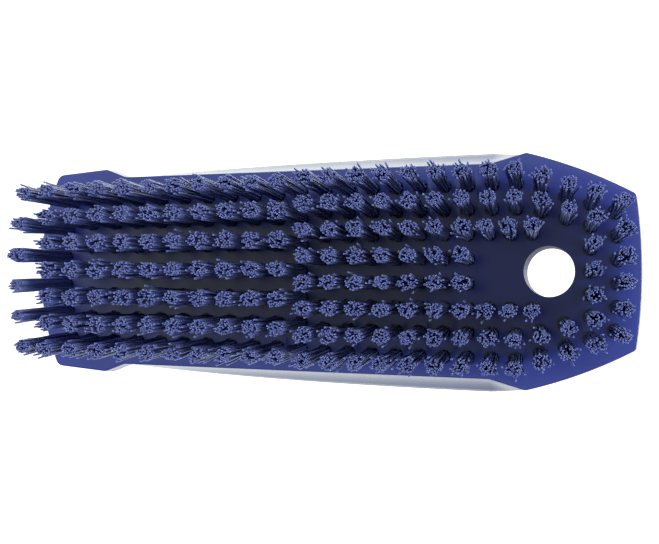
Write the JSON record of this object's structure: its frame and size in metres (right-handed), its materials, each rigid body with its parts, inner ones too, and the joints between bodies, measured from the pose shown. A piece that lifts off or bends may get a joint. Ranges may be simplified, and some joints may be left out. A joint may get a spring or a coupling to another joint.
{
  "type": "hand scrub brush",
  "caption": "Hand scrub brush: a moulded block with finger recesses, a hexagonal heel with a hanging hole, and rows of stiff bristle tufts that lean out past the toe.",
  "frame": {"origin": "on the floor, below the middle of the whole brush", "axes": "+X from the toe to the heel with the hanging hole, +Y across the brush, +Z from the bristle tips up to the block"},
  "size_m": [0.1966, 0.078, 0.0688],
  "materials": {
    "block_plastic": "semi-gloss moulded polypropylene, dark royal blue",
    "bristle_plastic": "satin polyester filament, slightly paler blue than the block"
  },
  "bodies": {
    "root": {"brush_block": "block_plastic", "toe_tuft_row": "bristle_plastic", "front_tuft_row_1": "bristle_plastic", "front_tuft_row_2": "bristle_plastic", "front_tuft_row_3": "bristle_plastic", "front_tuft_row_4": "bristle_plastic", "front_tuft_row_5": "bristle_plastic", "front_tuft_row_6": "bristle_plastic", "front_tuft_row_7": "bristle_plastic", "rear_tuft_row_1": "bristle_plastic", "rear_tuft_row_2": "bristle_plastic", "rear_tuft_row_3": "bristle_plastic", "rear_tuft_row_4": "bristle_plastic", "rear_tuft_row_5": "bristle_plastic", "rear_tuft_row_6": "bristle_plastic", "rear_tuft_row_7": "bristle_plastic", "rear_tuft_row_8": "bristle_plastic", "outer_slant_tuft_row_right": "bristle_plastic", "outer_slant_tuft_row_left": "bristle_plastic", "inner_slant_tuft_row_right": "bristle_plastic", "inner_slant_tuft_row_left": "bristle_plastic", "behind_hole_tuft_row": "bristle_plastic", "heel_tuft_row": "bristle_plastic"}
  },
  "joints": []
}
